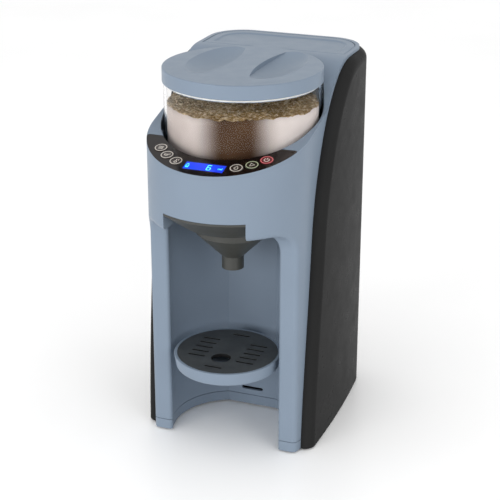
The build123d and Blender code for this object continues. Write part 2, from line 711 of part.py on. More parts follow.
with BuildPart() as container_lid:
    with Locations((0, AXIS_Y, LID_LOW)):
        Cylinder(LID_R, LID_TOP - LID_LOW, align=(Align.CENTER, Align.CENTER, Align.MIN))
    fillet(container_lid.edges().group_by(Axis.Z)[-1], 1.2)
    # two scooped finger recesses leave a waisted grip bar between them
    for side in (-1, 1):
        dish = Pos(side * SCOOP_X, SCOOP_Y, LID_TOP + SCOOP_R - SCOOP_DEPTH) * scale(
            Sphere(SCOOP_R, mode=Mode.PRIVATE), by=(1, SCOOP_STRETCH, 1), mode=Mode.PRIVATE
        )
        with BuildPart(mode=Mode.PRIVATE) as keep:
            with BuildSketch(Plane.XY.offset(LID_LOW)):
                with BuildLine():
                    ThreePointArc(
                        (side * BAR_END, SCOOP_Y - 90),
                        (side * BAR_WAIST, SCOOP_Y),
                        (side * BAR_END, SCOOP_Y + 90),
                    )
                    Polyline(
                        (side * BAR_END, SCOOP_Y + 90),
                        (side * 90, SCOOP_Y + 90),
                        (side * 90, SCOOP_Y - 90),
                        (side * BAR_END, SCOOP_Y - 90),
                    )
                make_face()
            extrude(amount=60)
        add(dish & keep.part, mode=Mode.SUBTRACT)
    # hollow underside, and the plug ring that enters the container
    with BuildSketch(Plane.XY.offset(LID_LOW)):
        with Locations((0, AXIS_Y)):
            Circle(PLUG_R)
    extrude(amount=2.5, mode=Mode.SUBTRACT)
    with BuildSketch(Plane.XY.offset(LID_LOW - PLUG_DEPTH)):
        with Locations((0, AXIS_Y)):
            Circle(PLUG_R)
            Circle(PLUG_R - 2.2, mode=Mode.SUBTRACT)
    extrude(amount=PLUG_DEPTH + 2.5)
    with BuildSketch(Plane.XY.offset(SEAL_LOW)):
        with Locations((0, AXIS_Y)):
            Circle(PLUG_R)
            Circle(PLUG_R - 1.2, mode=Mode.SUBTRACT)
    extrude(amount=SEAL_T, mode=Mode.SUBTRACT)
save(container_lid, "container_lid")

with BuildPart() as lid_seal:
    with BuildSketch(Plane.XY.offset(SEAL_LOW)):
        with Locations((0, AXIS_Y)):
            Circle(JAR_R - JAR_WALL - FIT)
            Circle(PLUG_R - 1.2, mode=Mode.SUBTRACT)
    extrude(amount=SEAL_T)
save(lid_seal, "lid_seal")

with BuildPart() as dosing_wheel:
    with Locations((0, AXIS_Y, WHEEL_LOW)):
        Cylinder(JAR_R - JAR_WALL - 2, WHEEL_T, align=(Align.CENTER, Align.CENTER, Align.MIN))
    with BuildSketch(Plane.XY.offset(JAR_LOW - 0.5)):
        with Locations((0, AXIS_Y)):
            Circle(HUB_R)
    extrude(amount=WHEEL_LOW - JAR_LOW + 1)
    # measuring cells pass over the outlet one after another
    with BuildSketch(Plane.XY.offset(WHEEL_LOW)):
        with Locations((0, AXIS_Y)):
            with PolarLocations(AXIS_Y - OUTLET_Y, 8, start_angle=-90):
                Circle(OUTLET_R - 0.5)
    extrude(amount=WHEEL_T, mode=Mode.SUBTRACT)
    with BuildSketch(Plane.XY.offset(JAR_LOW - 0.5)):
        with Locations((0, AXIS_Y)):
            RegularPolygon(HEX_R + 0.35, 6, major_radius=False)
    extrude(amount=HEX_TOP - JAR_LOW + 1, mode=Mode.SUBTRACT)
save(dosing_wheel, "dosing_wheel")

with BuildPart() as stirring_paddle:
    with BuildSketch(Plane.XY.offset(WHEEL_LOW + WHEEL_T)):
        with Locations((0, AXIS_Y)):
            Circle(9)
    extrude(amount=34)
    with BuildSketch(Plane.XY.offset(WHEEL_LOW + WHEEL_T + 2)):
        with Locations((0, AXIS_Y)):
            with PolarLocations(40, 3, start_angle=30):
                Rectangle(68, 4)
    extrude(amount=9, taper=12)
    with BuildSketch(Plane.XY.offset(WHEEL_LOW + WHEEL_T + 22)):
        with Locations((0, AXIS_Y)):
            with PolarLocations(27, 3, start_angle=90):
                Rectangle(42, 4)
    extrude(amount=8, taper=10)
    chamfer(stirring_paddle.edges().filter_by(GeomType.CIRCLE).sort_by(Axis.Z)[-1], 2)
save(stirring_paddle, "stirring_paddle")

# ---------------------------------------------------------------- drive
with BuildPart() as drive_coupler:
    with BuildSketch(Plane.XY.offset(GEAR_LOW)):
        with Locations((0, AXIS_Y)):
            Circle(SHAFT_R)
    extrude(amount=DECK_LOW + DECK_T + 0.8 - GEAR_LOW)
    with BuildSketch(Plane.XY.offset(DECK_LOW + DECK_T)):
        with Locations((0, AXIS_Y)):
            RegularPolygon(HEX_R, 6, major_radius=False)
    extrude(amount=HEX_TOP - 1 - DECK_LOW - DECK_T)
save(drive_coupler, "drive_coupler")

with BuildPart() as deck_bushing:
    with BuildSketch(Plane.XY.offset(DECK_LOW - 2)):
        with Locations((0, AXIS_Y)):
            Circle(BUSH_R)
            Circle(SHAFT_R + 0.06, mode=Mode.SUBTRACT)
    extrude(amount=DECK_T + 2)
save(deck_bushing, "deck_bushing")

with BuildPart() as idler_pin:
    with BuildSketch(Plane.XY.offset(GEAR_LOW - 1)):
        with Locations((0, IDLER_Y)):
            Circle(PIN_R)
    extrude(amount=DECK_LOW - GEAR_LOW + 1)
save(idler_pin, "idler_pin")

for name, teeth, y, tooth_at, bore in (
    ("drive_gear", GEAR_TEETH, AXIS_Y, 90, SHAFT_R),
    ("idler_gear", GEAR_TEETH, IDLER_Y, 90 + 180 / GEAR_TEETH, PIN_R + 0.06),
    ("motor_pinion", PINION_TEETH, PINION_Y, 90, MOTOR_SHAFT_R),
):
    with BuildPart() as gear:
        with BuildSketch(Plane.XY.offset(GEAR_LOW)):
            with Locations((0, y)):
                add(gear_outline(teeth, tooth_at))
                Circle(bore, mode=Mode.SUBTRACT)
        extrude(amount=GEAR_T)
    save(gear, name)

with BuildPart() as motor_shaft:
    with BuildSketch(Plane.XY.offset(MOTOR_TOP - 12)):
        with Locations((0, PINION_Y)):
            Circle(MOTOR_SHAFT_R)
    extrude(amount=GEAR_LOW + GEAR_T + 1 - MOTOR_TOP + 12)
save(motor_shaft, "motor_shaft")

with BuildPart() as drive_motor:
    with Locations((0, PINION_Y, MOTOR_TOP)):
        Cylinder(16, 58, align=(Align.CENTER, Align.CENTER, Align.MAX))
        Cylinder(MOTOR_SHAFT_R + 0.08, 24, mode=Mode.SUBTRACT)
    chamfer(drive_motor.edges().group_by(Axis.Z)[0], 1.5)
save(drive_motor, "drive_motor")

with BuildPart() as motor_bracket:
    with BuildSketch(Plane.XY.offset(MOTOR_TOP)):
        with Locations((0, (14 + BULKHEAD_Y) / 2)):
            Rectangle(44, BULKHEAD_Y - 14)
        with Locations((0, PINION_Y)):
            Circle(5, mode=Mode.SUBTRACT)
    extrude(amount=2)
    with BuildSketch(Plane.XY.offset(MOTOR_TOP - 20)):
        with Locations((0, BULKHEAD_Y - 1)):
            Rectangle(44, 2)
    extrude(amount=20)
save(motor_bracket, "motor_bracket")

# ---------------------------------------------------------------- mixing funnel
with BuildPart() as mixing_funnel:
    # the visor closes the notch in the head's rim
    add(visor_cone(BOWL_TOP, VISOR_T, VISOR_HALF_W))
    add(visor_cone(BOWL_TOP, 0, VISOR_HALF_W + 1), mode=Mode.SUBTRACT)
    # flange that slides in the rails
    with BuildSketch(Plane.XY.offset(BOWL_TOP)):
        with Locations((0, (HEAD_Y + RAIL_BACK) / 2)):
            Rectangle(2 * VISOR_HALF_W, RAIL_BACK - HEAD_Y)
        with BuildSketch(mode=Mode.PRIVATE) as front:
            with Locations((0, HEAD_Y)):
                Circle(visor_radius(BOWL_TOP))
            with Locations((0, HEAD_Y - 100)):
                Rectangle(2 * VISOR_HALF_W, 200, mode=Mode.INTERSECT)
        add(front)
    extrude(amount=FLANGE_T)
    with BuildSketch(Plane.XY.offset(180)):
        add(head_outline(0.2, 0))
    extrude(amount=200, mode=Mode.INTERSECT)
    # bowl and spout
    for wall, raised, cut in ((0, 0, Mode.ADD), (BOWL_WALL, 10, Mode.SUBTRACT)):
        with BuildSketch(Plane.XZ.offset(-OUTLET_Y)):
            with BuildLine():
                Polyline(
                    (0, BOWL_TOP + FLANGE_T + raised),
                    (BOWL_R - wall, BOWL_TOP + FLANGE_T + raised),
                    (BOWL_R - wall, BOWL_LOW),
                    (SPOUT_R - wall, SPOUT_TOP),
                    (SPOUT_R - wall, SPOUT_LOW),
                    (0, SPOUT_LOW),
                    close=True,
                )
            make_face()
        revolve(axis=Axis((0, OUTLET_Y, 0), (0, 0, 1)), mode=cut)
save(mixing_funnel, "mixing_funnel")

# ---------------------------------------------------------------- tray
with BuildPart() as tray_holder:
    with BuildSketch(Plane.XY.offset(TRAY_TOP)):
        with Locations((0, TRAY_Y)):
            Circle(TRAY_R)
    extrude(amount=-TRAY_H, taper=9)
    fillet(tray_holder.edges().group_by(Axis.Z)[0], 3)
    fillet(tray_holder.edges().group_by(Axis.Z)[-1], 0.8)
    with BuildSketch(Plane.XY.offset(TRAY_TOP)):
        with Locations((0, TRAY_Y)):
            Circle(GRID_R + FIT)
    extrude(amount=-GRID_T - 0.3, mode=Mode.SUBTRACT)
    with BuildSketch(Plane.XY.offset(TRAY_TOP)):
        with Locations((0, TRAY_Y)):
            Circle(GRID_R - 2.5)
    extrude(amount=2.5 - TRAY_H, mode=Mode.SUBTRACT)
    # arm that plugs into one of the sockets
    with Locations((0, (TRAY_Y + TRAY_R - 6 + BAY_BACK + 4) / 2, SOCKET_HEIGHTS[-1])):
        Box(ARM_W, BAY_BACK + 4 - (TRAY_Y + TRAY_R - 6), ARM_T)
save(tray_holder, "tray_holder")

with BuildPart() as tray_grid:
    with BuildSketch(Plane.XY.offset(TRAY_TOP - GRID_T)):
        with Locations((0, TRAY_Y)):
            Circle(GRID_R)
            with Locations(*GRID_SLOTS):
                SlotOverall(20, 3, mode=Mode.SUBTRACT)
            with Locations((0, -18.8)):
                Circle(10.8, mode=Mode.SUBTRACT)
    extrude(amount=GRID_T)
save(tray_grid, "tray_grid")

# ---------------------------------------------------------------- water tank and its lid
with BuildPart() as water_tank:
    with BuildSketch(Plane.XY.offset(TANK_LOW)):
        add(cover_outline(TANK_INSET, front=TANK_FRONT + 3))
    extrude(amount=TANK_TOP - TANK_LOW)
    with BuildSketch(Plane.XY.offset(TANK_LOW + TANK_WALL)):
        add(cover_outline(TANK_INSET + TANK_WALL, front=TANK_FRONT + 3 + TANK_WALL))
    extrude(amount=TANK_TOP, mode=Mode.SUBTRACT)
    with Locations((SOCKET_X, SOCKET_Y, TANK_LOW)):
        Cylinder(4, 20, mode=Mode.SUBTRACT)
save(water_tank, "water_tank")

with BuildPart() as tank_valve:
    with Locations((SOCKET_X, SOCKET_Y, TANK_LOW)):
        Cylinder(VALVE_R, 9, align=(Align.CENTER, Align.CENTER, Align.MAX))
        Cylinder(4, 6, align=(Align.CENTER, Align.CENTER, Align.MIN))
        Cylinder(1.5, 40, mode=Mode.SUBTRACT)
save(tank_valve, "tank_valve")

with BuildPart() as tank_lid:
    with BuildSketch(Plane.XY.offset(TANK_TOP + 0.4)):
        add(cover_outline(LID_INSET, front=TANK_FRONT))
    extrude(amount=COVER_TOP - TANK_TOP - 0.4)
    fillet(tank_lid.edges().group_by(Axis.Z)[-1], 1.5)
    # shallow dish that the fingers find, and the ring that enters the tank
    with BuildSketch(Plane.XY.offset(COVER_TOP)):
        add(cover_outline(LID_INSET + 9, front=TANK_FRONT + 9))
    extrude(amount=-1.2, taper=60, mode=Mode.SUBTRACT)
    with BuildSketch(Plane.XY.offset(TANK_TOP - 8)):
        add(cover_outline(TANK_INSET + TANK_WALL + 0.4, front=TANK_FRONT + 3 + TANK_WALL + 0.4))
        inner_front = TANK_FRONT + 5 + TANK_WALL + 0.4
        add(cover_outline(TANK_INSET + TANK_WALL + 2.4, front=inner_front), mode=Mode.SUBTRACT)
    extrude(amount=9)
save(tank_lid, "tank_lid")

with BuildPart() as water_socket:
    with Locations((SOCKET_X, SOCKET_Y, SHELF_LOW - 0.2)):
        Cylinder(VALVE_R + 3, 14, align=(Align.CENTER, Align.CENTER, Align.MAX))
    with Locations((SOCKET_X, SOCKET_Y, SHELF_LOW - 14.2)):
        Cylinder(2, 8, align=(Align.CENTER, Align.CENTER, Align.MAX))
    with Locations((SOCKET_X, SOCKET_Y, SHELF_LOW)):
        Cylinder(VALVE_R + 0.4, 9, align=(Align.CENTER, Align.CENTER, Align.MAX), mode=Mode.SUBTRACT)
save(water_socket, "water_socket")

# ---------------------------------------------------------------- water path
with BuildPart() as water_pump:
    with Locations((PUMP_X, PUMP_Y, PUMP_LOW)):
        Box(30, 30, 26, align=(Align.CENTER, Align.CENTER, Align.MIN))
    with Locations((PUMP_X, PUMP_Y, PUMP_LOW + 26)):
        Cylinder(13, 32, align=(Align.CENTER, Align.CENTER, Align.MIN))
save(water_pump, "water_pump")

with BuildPart() as water_heater:
    with Locations((HEATER_X, PUMP_Y, HEATER_LOW)):
        Cylinder(15, HEATER_TALL, align=(Align.CENTER, Align.CENTER, Align.MIN))
    fillet(water_heater.edges().filter_by(GeomType.CIRCLE), 3)
save(water_heater, "water_heater")

for name, route in HOSES.items():
    with BuildPart() as hose:
        with BuildLine() as path:
            FilletPolyline(*route, radius=HOSE_BEND)
        with BuildSketch(Plane(origin=path.line @ 0, z_dir=path.line % 0)):
            Circle(HOSE_R)
        sweep(path=path.line)
    save(hose, name)

with BuildPart() as water_nozzle:
    x, y = NOZZLE_PLACE
    with Locations((x, y, CEILING_LOW - 4)):
        Cylinder(NOZZLE_R, 15, align=(Align.CENTER, Align.CENTER, Align.MIN))
        Cylinder(2.2, 22, mode=Mode.SUBTRACT)
    with Locations((x + 1, y, NOZZLE_Z)):
        Cylinder(2.6, 9, rotation=(0, 90, 0), align=(Align.CENTER, Align.CENTER, Align.MIN))
save(water_nozzle, "water_nozzle")

# ---------------------------------------------------------------- electrics
with BuildPart() as circuit_board:
    with Locations((0, BOARD_Y, 125)):
        Box(84, 1.6, 120)
    for x, z, width, tall, deep in BOARD_PARTS:
        with Locations((x, BOARD_Y + 0.8, z)):
            Box(width, deep, tall, align=(Align.CENTER, Align.MIN, Align.CENTER))
save(circuit_board, "circuit_board")

with BuildPart() as power_inlet:
    with Locations((INLET_X, JACKET_BACK - 2.0, INLET_Z)):
        Box(INLET_W, 20, INLET_H, align=(Align.CENTER, Align.MAX, Align.CENTER))
    # recess shaped like a figure eight, with two contact pins in it
    with BuildSketch(Plane.XZ.offset(-JACKET_BACK + 2.0)):
        with Locations((INLET_X, INLET_Z)):
            SlotOverall(18.5, 10)
    extrude(amount=12, mode=Mode.SUBTRACT)
    with BuildSketch(Plane.XZ.offset(-JACKET_BACK + 4.0)):
        with Locations((INLET_X - 4.3, INLET_Z), (INLET_X + 4.3, INLET_Z)):
            Circle(1.2)
    extrude(amount=10.5)
save(power_inlet, "power_inlet")
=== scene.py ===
"""Looks of the formula dispenser: materials, powder, display and button marks round the CAD frame."""
import json
import math

import bmesh
import bpy
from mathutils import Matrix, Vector, noise


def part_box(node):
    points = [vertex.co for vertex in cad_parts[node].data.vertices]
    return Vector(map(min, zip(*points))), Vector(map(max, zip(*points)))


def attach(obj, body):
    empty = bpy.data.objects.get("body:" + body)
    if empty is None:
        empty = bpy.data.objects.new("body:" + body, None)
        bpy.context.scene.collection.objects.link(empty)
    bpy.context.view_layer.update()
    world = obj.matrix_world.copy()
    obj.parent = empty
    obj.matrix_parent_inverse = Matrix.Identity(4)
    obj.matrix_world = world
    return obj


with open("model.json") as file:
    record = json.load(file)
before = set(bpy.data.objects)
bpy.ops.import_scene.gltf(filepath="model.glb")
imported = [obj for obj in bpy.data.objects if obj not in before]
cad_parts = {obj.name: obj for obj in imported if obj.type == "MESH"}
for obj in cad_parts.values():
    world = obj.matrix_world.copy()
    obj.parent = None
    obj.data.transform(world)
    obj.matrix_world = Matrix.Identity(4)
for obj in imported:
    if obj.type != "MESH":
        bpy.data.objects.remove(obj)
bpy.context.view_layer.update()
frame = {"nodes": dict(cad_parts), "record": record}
MM = 0.001


# ---------------------------------------------------------------- small helpers
def srgb(r, g, b):
    """Linear colour from display values of 0 to 255."""

    def linear(c):
        c /= 255
        return c / 12.92 if c <= 0.04045 else ((c + 0.055) / 1.055) ** 2.4

    return (linear(r), linear(g), linear(b), 1.0)


class Shader:
    """A node material with one Principled shader, and short calls to add nodes to it."""

    def __init__(self, name, **sockets):
        self.material = bpy.data.materials.new(name)
        self.material.use_nodes = True
        self.nodes = self.material.node_tree.nodes
        self.links = self.material.node_tree.links
        self.bsdf = self.nodes["Principled BSDF"]
        for socket, value in sockets.items():
            self.bsdf.inputs[socket.replace("_", " ")].default_value = value
        self.place = self.nodes.new("ShaderNodeTexCoord").outputs["Object"]

    def link(self, source, target):
        """Joins an output to an input."""
        self.links.new(source, target)

    def stretched(self, scale):
        """Object coordinates scaled unevenly."""
        node = self.nodes.new("ShaderNodeMapping")
        node.inputs["Scale"].default_value = scale
        self.link(self.place, node.inputs["Vector"])
        return node.outputs["Vector"]

    def noise(self, scale, detail=2.0, rough=0.5, place=None):
        """Smooth random values round 0.5; scale is in features per metre."""
        node = self.nodes.new("ShaderNodeTexNoise")
        node.inputs["Scale"].default_value = scale
        node.inputs["Detail"].default_value = detail
        node.inputs["Roughness"].default_value = rough
        self.link(place or self.place, node.inputs["Vector"])
        return node.outputs["Fac"]

    def cells(self, scale):
        """Distance from the middle of the nearest random cell."""
        node = self.nodes.new("ShaderNodeTexVoronoi")
        node.inputs["Scale"].default_value = scale
        self.link(self.place, node.inputs["Vector"])
        return node.outputs["Distance"]

    def ramp(self, source, *stops):
        """Colour ramp; each stop is (position, colour)."""
        node = self.nodes.new("ShaderNodeValToRGB")
        ends = node.color_ramp.elements
        ends[0].position, ends[0].color = stops[0]
        ends[1].position, ends[1].color = stops[-1]
        for position, colour in stops[1:-1]:
            ends.new(position).color = colour
        self.link(source, node.inputs["Fac"])
        return node.outputs["Color"]

    def range(self, source, low, high, to_low, to_high, kind="LINEAR"):
        """A value carried from one range to another, held at the ends."""
        node = self.nodes.new("ShaderNodeMapRange")
        node.interpolation_type = kind
        limits = {"From Min": low, "From Max": high, "To Min": to_low, "To Max": to_high}
        for socket, value in limits.items():
            node.inputs[socket].default_value = value
        self.link(source, node.inputs["Value"])
        return node.outputs["Result"]

    def along(self, axis, low, high):
        """0 up to the lower place on an axis, rising to 1 at the higher place."""
        split = self.nodes.new("ShaderNodeSeparateXYZ")
        self.link(self.place, split.inputs[0])
        return self.range(split.outputs[axis], low, high, 0.0, 1.0)

    def blend(self, factor, first, second):
        """Mix of two colours; each is a socket or a value."""
        node = self.nodes.new("ShaderNodeMix")
        node.data_type = "RGBA"
        for slot, value in ((0, factor), (6, first), (7, second)):
            if isinstance(value, bpy.types.NodeSocket):
                self.link(value, node.inputs[slot])
            else:
                node.inputs[slot].default_value = value
        return node.outputs[2]

    def distance(self, point, flatten=(1, 1, 1)):
        """Distance from a point, or from a line along an axis that flatten sets to 0."""
        node = self.nodes.new("ShaderNodeVectorMath")
        node.operation = "DISTANCE"
        self.link(self.stretched(flatten), node.inputs[0])
        node.inputs[1].default_value = [c * f for c, f in zip(point, flatten)]
        return node.outputs["Value"]

    def bump(self, height, strength, distance, after=None):
        """Relief of the surface, on top of an earlier relief where one is given."""
        node = self.nodes.new("ShaderNodeBump")
        node.inputs["Strength"].default_value = strength
        node.inputs["Distance"].default_value = distance
        self.link(height, node.inputs["Height"])
        if after:
            self.link(after, node.inputs["Normal"])
        self.link(node.outputs["Normal"], self.bsdf.inputs["Normal"])
        return node.outputs["Normal"]

    def color(self, source):
        """Base colour from a socket."""
        self.link(source, self.bsdf.inputs["Base Color"])

    def roughness(self, source):
        """Roughness from a socket."""
        self.link(source, self.bsdf.inputs["Roughness"])

    def shine(self, source):
        """The same colour reflected and given off as light."""
        self.color(source)
        self.link(source, self.bsdf.inputs["Emission Color"])


# ---------------------------------------------------------------- materials
def moulded(
    name, colour, rough, tint=0.04, grain=1600.0, grain_depth=0.006 * MM, waviness=0.12 * MM, **sockets
):
    """Injection-moulded plastic: faint colour drift, uneven gloss and a fine spark-eroded grain."""
    shader = Shader(name, **sockets)
    drift = shader.noise(14, 3)
    darker = tuple(c * (1 - tint) for c in colour[:3]) + (1,)
    lighter = tuple(min(1, c * (1 + tint)) for c in colour[:3]) + (1,)
    shader.color(shader.ramp(drift, (0.3, darker), (0.7, lighter)))
    shader.roughness(shader.range(shader.noise(55, 4), 0.3, 0.7, rough - 0.04, rough + 0.05))
    waves = shader.bump(shader.noise(38, 1), 0.12, waviness)
    shader.bump(shader.noise(grain, 2), 0.5, grain_depth, waves)
    return shader.material


def clear_plastic():
    """Clear walls with a slightly uneven polish."""
    shader = Shader(
        "clear_plastic",
        Base_Color=(1, 1, 1, 1),
        Transmission_Weight=1.0,
        IOR=1.06,
        Coat_Weight=0.1,
        Coat_Roughness=0.03,
    )
    shader.roughness(shader.range(shader.noise(12, 1), 0.3, 0.7, 0.0, 0.02))
    return shader.material


def smoke_plastic():
    """Smoky walls, a little frosted."""
    shader = Shader("smoke_plastic", Base_Color=srgb(190, 200, 208), Transmission_Weight=0.85, IOR=1.3)
    shader.roughness(shader.range(shader.noise(30, 3), 0.3, 0.7, 0.05, 0.12))
    return shader.material


def brushed(name, colour, rough):
    """Metal with fine upright streaks."""
    shader = Shader(name, Metallic=1.0)
    streaks = shader.noise(900, 3, place=shader.stretched((1, 1, 0.03)))
    dark = tuple(c * 0.8 for c in colour[:3]) + (1,)
    shader.color(shader.ramp(streaks, (0.35, dark), (0.65, colour)))
    shader.roughness(shader.range(streaks, 0.3, 0.7, rough, rough + 0.15))
    return shader.material


def circuit_green():
    """Solder mask with a pattern of paler pads."""
    shader = Shader("board_green")
    traces = shader.cells(260)
    shader.color(shader.ramp(traces, (0.35, srgb(20, 70, 38)), (0.5, srgb(40, 110, 60))))
    shader.roughness(shader.range(shader.noise(80, 2), 0.3, 0.7, 0.35, 0.5))
    return shader.material


def grid_black():
    """Textured black plastic, with painted shade: the slot walls are coloured near black and the top face
    stays paler.
    """
    shader = Shader("grid_black")
    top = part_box("tray_grid")[1][2]
    # Painted shade: everything more than half a millimetre under the top face, the slot walls, is coloured
    # near black.
    above_slot_shade = shader.along("Z", top - 0.5 * MM, top - 0.1 * MM)
    face = shader.ramp(shader.noise(60, 4), (0.3, srgb(50, 53, 55)), (0.7, srgb(64, 67, 68)))
    shader.color(shader.blend(above_slot_shade, srgb(6, 6, 6), face))
    shader.roughness(shader.range(shader.noise(55, 4), 0.3, 0.7, 0.45, 0.6))
    shader.bump(shader.noise(900, 2), 0.5, 0.02 * MM)
    return shader.material


def backlit_blue():
    """Display lit from behind, a little uneven."""
    shader = Shader("lcd_blue", Roughness=0.15, Emission_Strength=0.42)
    shader.shine(shader.ramp(shader.noise(40, 2), (0.3, srgb(8, 44, 205)), (0.7, srgb(20, 66, 228))))
    return shader.material


def display_glow():
    """Lit digits, paler than the display behind them."""
    shader = Shader("display_digits", Roughness=0.4, Emission_Strength=0.9)
    shader.shine(shader.ramp(shader.noise(300, 1), (0.3, srgb(60, 214, 250)), (0.7, srgb(96, 232, 255))))
    return shader.material


SHELL = srgb(121, 134, 149)
FINE = 0.002 * MM
LOOKS = {
    "shell_blue_grey": moulded("shell_blue_grey", SHELL, 0.36, 0.02, Specular_IOR_Level=0.1),
    "dark_plastic": moulded("dark_plastic", srgb(45, 45, 46), 0.5),
    "rubber_black": moulded("rubber_black", srgb(30, 30, 30), 0.8, grain=700, grain_depth=0.03 * MM),
    "steel": brushed("steel", srgb(200, 200, 202), 0.28),
    "black_panel": moulded(
        "black_panel",
        srgb(40, 40, 40),
        0.3,
        grain=2200,
        grain_depth=0.003 * MM,
        waviness=0.03 * MM,
        Specular_IOR_Level=0.008,
    ),
    "inner_white": moulded("inner_white", srgb(214, 214, 210), 0.5),
    "gloss_black": moulded(
        "gloss_black", srgb(18, 11, 9), 0.12, grain_depth=0.001 * MM, Specular_IOR_Level=0.25
    ),
    "board_green": circuit_green(),
    "brass": brushed("brass", srgb(205, 170, 95), 0.25),
    "silicone": moulded("silicone", srgb(222, 222, 218), 0.5),
    "clear_plastic": clear_plastic(),
    "gear_white": moulded("gear_white", srgb(226, 225, 215), 0.4),
    "funnel_grey": moulded("funnel_grey", srgb(58, 59, 56), 0.42, Specular_IOR_Level=0.35),
    "grid_black": grid_black(),
    "smoke_plastic": smoke_plastic(),
    "lcd_blue": backlit_blue(),
    "button_silver": moulded("button_silver", srgb(42, 33, 29), 0.25, grain_depth=FINE),
    "button_green": moulded("button_green", srgb(40, 38, 30), 0.25, grain_depth=FINE),
    "button_red": moulded("button_red", srgb(92, 30, 36), 0.25, grain_depth=FINE),
}

for part in frame["record"]["subparts"]:
    node = frame["nodes"][part["node"]]
    for material_slot in node.material_slots:
        material_slot.material = LOOKS[part["material_slot"]]


# ---------------------------------------------------------------- powder in the container
def powder_looks(patch):
    """Smooth powder against the wall, with painted shade on its left and painted light on its right, a
    darker brown patch in front, and the crumbly top.
    """
    smooth = Shader("powder_wall", Roughness=0.85, Specular_IOR_Level=0.1)
    # Painted light: the wall is coloured darker on the left as painted shade and paler on the right as
    # painted light from the right-hand lamp.
    shaded_left = smooth.ramp(smooth.noise(24, 2), (0.3, srgb(178, 166, 160)), (0.7, srgb(194, 182, 176)))
    pale = smooth.ramp(smooth.noise(24, 2), (0.3, srgb(210, 199, 194)), (0.7, srgb(226, 217, 213)))
    side_lit_wall = smooth.blend(smooth.along("X", -70 * MM, 40 * MM), shaded_left, pale)
    # A darker brown patch on the front of the wall, round the point given as patch.
    dark_patch = smooth.ramp(smooth.noise(24, 1), (0.3, srgb(62, 42, 28)), (0.7, srgb(82, 60, 42)))
    away = smooth.distance(patch, (1, 1, 0))
    outside = smooth.range(away, 14 * MM, 50 * MM, 0.0, 1.0, "SMOOTHSTEP")
    smooth.color(smooth.blend(outside, dark_patch, side_lit_wall))

    crumbs = Shader("powder_top", Roughness=0.95, Specular_IOR_Level=0.1)
    flecks = crumbs.ramp(
        crumbs.noise(260, 4, 0.65),
        (0.36, srgb(92, 64, 26)),
        (0.5, srgb(176, 142, 90)),
        (0.64, srgb(255, 240, 212)),
    )
    shade = crumbs.ramp(crumbs.noise(40, 3), (0.3, srgb(138, 104, 54)), (0.7, srgb(196, 168, 122)))
    # Paler and greyer towards the left.
    paler_left = crumbs.blend(crumbs.along("X", -70 * MM, 0), srgb(206, 196, 180), shade)
    crumbs.color(crumbs.blend(0.4, flecks, paler_left))
    crumbs.bump(crumbs.cells(380), 0.8, 1.2 * MM)
    return smooth.material, crumbs.material


def lumpy(x, y):
    """Height of the powder's surface over its mean level: drifts, then lumps, then crumbs."""
    drift = noise.noise(Vector((x * 18, y * 18, 3.1))) * 2.2
    lumps = noise.noise(Vector((x * 120, y * 120, 7.7))) * 2.0
    crumbs = abs(noise.noise(Vector((x * 420, y * 420, 1.9)))) * 2.0
    return (drift + lumps + crumbs) * MM


CONTAINER_WALL = 3.2 * MM       # with a hair of room, so that the powder doesn't touch the wall
FILL_BELOW_RIM = 23 * MM
SWEEP_ROOM = 10 * MM            # round the paddle
LEAST_SHELL = 3 * MM            # of powder between the hollow and the wall
OVER_WHEEL, OVER_PADDLE = 1 * MM, 2 * MM
PATCH_X = 22 * MM               # where the wall's darker brown patch sits in front
AROUND, WALL_ROWS, TOP_RINGS = 180, 8, 56


def make_powder():
    """A cap of powder whose hollow underside leaves the stirrer room to turn."""
    low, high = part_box("powder_container")
    wheel_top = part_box("dosing_wheel")[1][2]
    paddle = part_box("stirring_paddle")
    middle = Vector(((low[0] + high[0]) / 2, (low[1] + high[1]) / 2, 0))
    outer = (high[0] - low[0]) / 2 - CONTAINER_WALL
    swept = max(paddle[1][0] - paddle[0][0], paddle[1][1] - paddle[0][1]) / 2
    inner = min(swept + SWEEP_ROOM, outer - LEAST_SHELL)
    foot, roof = wheel_top + OVER_WHEEL, paddle[1][2] + OVER_PADDLE
    level = high[2] - FILL_BELOW_RIM
    mesh = bmesh.new()

    def ring(radius, height):
        loop = []
        for k in range(AROUND):
            turn = 2 * math.pi * k / AROUND
            x, y = middle.x + radius * math.cos(turn), middle.y + radius * math.sin(turn)
            loop.append(mesh.verts.new((x, y, height(x, y))))
        return loop

    def surface(x, y):
        return level + lumpy(x, y)

    loops = [ring(inner, lambda x, y: roof), ring(inner, lambda x, y: foot), ring(outer, lambda x, y: foot)]
    for row in range(1, WALL_ROWS):
        part = row / WALL_ROWS
        loops.append(ring(outer, lambda x, y: foot + (surface(x, y) - foot) * part))
    first_top = len(loops)
    for row in range(TOP_RINGS):
        loops.append(ring(outer * (1 - row / TOP_RINGS), surface))
    for index, (one, two) in enumerate(zip(loops, loops[1:])):
        for k in range(AROUND):
            face = mesh.faces.new((one[k], one[(k + 1) % AROUND], two[(k + 1) % AROUND], two[k]))
            face.material_index = 1 if index >= first_top else 0
            face.smooth = index < first_top and index > 1
    for loop, height in ((loops[-1], surface(middle.x, middle.y)), (loops[0], roof)):
        tip = mesh.verts.new((middle.x, middle.y, height))
        for k in range(AROUND):
            mesh.faces.new((loop[k], loop[(k + 1) % AROUND], tip)).material_index = 1
    bmesh.ops.recalc_face_normals(mesh, faces=mesh.faces)
    data = bpy.data.meshes.new("powder")
    mesh.to_mesh(data)
    powder = bpy.data.objects.new("powder", data)
    bpy.context.scene.collection.objects.link(powder)
    patch = (middle.x + PATCH_X, middle.y - math.sqrt(outer**2 - PATCH_X**2), 0)
    for look in powder_looks(patch):
        data.materials.append(look)
    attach(powder, "powder_container")


make_powder()

# ---------------------------------------------------------------- marks on the buttons and the display
press = next(joint for joint in frame["record"]["behaviour"]["joints"] if joint["name"] == "menu_press")
UP = -Vector(press["axis"]).normalized()          # square to the control panel
ACROSS = Vector((1, 0, 0))
ALONG = UP.cross(ACROSS)                          # up the panel's slope


